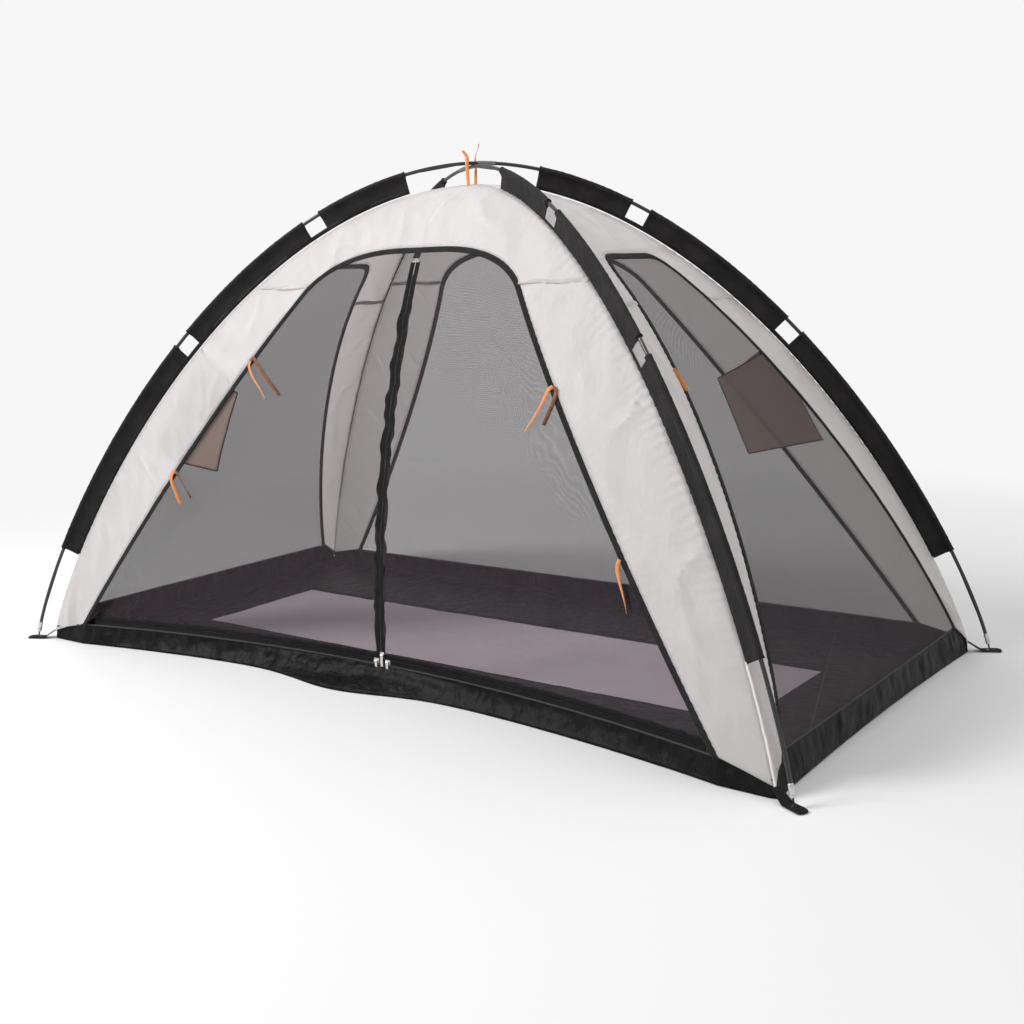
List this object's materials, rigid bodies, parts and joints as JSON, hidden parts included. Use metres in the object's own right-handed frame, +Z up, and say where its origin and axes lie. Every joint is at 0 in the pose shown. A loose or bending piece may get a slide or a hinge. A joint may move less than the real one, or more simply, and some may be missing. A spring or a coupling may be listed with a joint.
{
  "type": "mosquito net tent",
  "caption": "Free-standing net tent with crossing poles in cloth sleeves, net walls, a zipped door of folding flaps and a tub floor.",
  "frame": {"origin": "centre of the footprint, on the ground", "axes": "+X along the tent's long side, to the right as seen from the door; +Y from the door to the back wall; +Z up"},
  "size_m": [2.0758, 1.0828, 1.1439],
  "materials": {
    "pole_fibreglass": "satin black",
    "plated_metal": "plated, bright",
    "shock_cord": "braided elastic",
    "black_sleeve_cloth": "woven, slight sheen",
    "beige_canopy_cloth": "thin woven, matt",
    "black_binding_tape": "woven tape, stitched",
    "mosquito_net": "fine open net",
    "black_tub_cloth": "coated cloth",
    "light_floor_cloth": "matt cloth",
    "black_webbing": "woven webbing",
    "black_zip_tape": "coil zip on tape",
    "zip_pull_metal": "pale metal",
    "pocket_net": "fine net",
    "orange_ribbon": "smooth ribbon"
  },
  "bodies": {
    "tent": {"back_canopy_panel": "beige_canopy_cloth", "back_window_binding": "black_binding_tape", "back_window_net": "mosquito_net", "corner_tab_back_left": "black_webbing", "corner_tab_back_right": "black_webbing", "corner_tab_front_left": "black_webbing", "corner_tab_front_right": "black_webbing", "crown_tie_back": "orange_ribbon", "crown_tie_front": "orange_ribbon", "door_fixed_net": "mosquito_net", "door_tie_left_lower": "orange_ribbon", "door_tie_left_upper": "orange_ribbon", "door_tie_right_lower": "orange_ribbon", "door_tie_right_upper": "orange_ribbon", "end_window_tie": "orange_ribbon", "floor_centre_panel": "light_floor_cloth", "front_canopy_panel": "beige_canopy_cloth", "front_window_binding": "black_binding_tape", "left_canopy_panel": "beige_canopy_cloth", "left_window_binding": "black_binding_tape", "left_window_net": "mosquito_net", "pole_a_section_1": "pole_fibreglass", "pole_a_section_2": "pole_fibreglass", "pole_a_section_3": "pole_fibreglass", "pole_a_section_4": "pole_fibreglass", "pole_a_section_5": "pole_fibreglass", "pole_a_section_6": "pole_fibreglass", "pole_a_shock_cord": "shock_cord", "pole_b_section_1": "pole_fibreglass", "pole_b_section_2": "pole_fibreglass", "pole_b_section_3": "pole_fibreglass", "pole_b_section_4": "pole_fibreglass", "pole_b_section_5": "pole_fibreglass", "pole_b_section_6": "pole_fibreglass", "pole_b_shock_cord": "shock_cord", "pole_sleeve_back_left": "black_sleeve_cloth", "pole_sleeve_back_right": "black_sleeve_cloth", "pole_sleeve_front_left": "black_sleeve_cloth", "pole_sleeve_front_right": "black_sleeve_cloth", "pole_tip_back_left": "plated_metal", "pole_tip_back_right": "plated_metal", "pole_tip_front_left": "plated_metal", "pole_tip_front_right": "plated_metal", "right_canopy_panel": "beige_canopy_cloth", "right_window_binding": "black_binding_tape", "right_window_net": "mosquito_net", "sill_zip_lower_tape": "black_zip_tape", "storage_pocket_back_right": "pocket_net", "storage_pocket_front_left": "pocket_net", "tub_floor": "black_tub_cloth"},
    "flap_left": {"door_flap_net_left": "mosquito_net", "door_zip_tape_left": "black_zip_tape"},
    "flap_right": {"door_flap_net_right": "mosquito_net", "door_zip_tape_right": "black_zip_tape"},
    "slider_upright": {"zip_slider_upright": "plated_metal"},
    "pull_upright": {"zip_pull_upright": "zip_pull_metal"},
    "slider_sill_left": {"zip_slider_sill_left": "plated_metal"},
    "pull_sill_left": {"zip_pull_sill_left": "zip_pull_metal"},
    "slider_sill_right": {"zip_slider_sill_right": "plated_metal"},
    "pull_sill_right": {"zip_pull_sill_right": "zip_pull_metal"}
  },
  "joints": [
    {"name": "flap_left_fold", "type": "hinge", "parent": "tent", "child": "flap_left", "pos_m": [-0.842, -0.48966, 0.05], "axis": [-0.6841, -0.235, -0.6906], "range_deg": [0, 100]},
    {"name": "flap_right_fold", "type": "hinge", "parent": "tent", "child": "flap_right", "pos_m": [0.842, -0.48966, 0.05], "axis": [-0.6841, 0.235, 0.6906], "range_deg": [0, 100]},
    {"name": "upright_zip", "type": "hinge", "parent": "flap_right", "child": "slider_upright", "pos_m": [0, 1.75778, 0.06], "axis": [-1, 0, 0], "range_deg": [0, 22]},
    {"name": "sill_zip_left", "type": "hinge", "parent": "tent", "child": "slider_sill_left", "pos_m": [0, -3.60114, 0.06], "axis": [0, 0, 1], "range_deg": [0, 14]},
    {"name": "sill_zip_right", "type": "hinge", "parent": "tent", "child": "slider_sill_right", "pos_m": [0, -3.60114, 0.06], "axis": [0, 0, -1], "range_deg": [0, 13.7]},
    {"name": "pull_upright_swing", "type": "hinge", "parent": "slider_upright", "child": "pull_upright", "pos_m": [0.005, -0.37668, 0.0689], "axis": [-1, 0, 0], "range_deg": [0, 90]},
    {"name": "pull_sill_left_swing", "type": "hinge", "parent": "slider_sill_left", "child": "pull_sill_left", "pos_m": [-0.0115, -0.37672, 0.055], "axis": [-1, 0, 0], "range_deg": [0, 90]},
    {"name": "pull_sill_right_swing", "type": "hinge", "parent": "slider_sill_right", "child": "pull_sill_right", "pos_m": [0.0195, -0.37676, 0.055], "axis": [-1, 0, 0], "range_deg": [0, 90]}
  ]
}
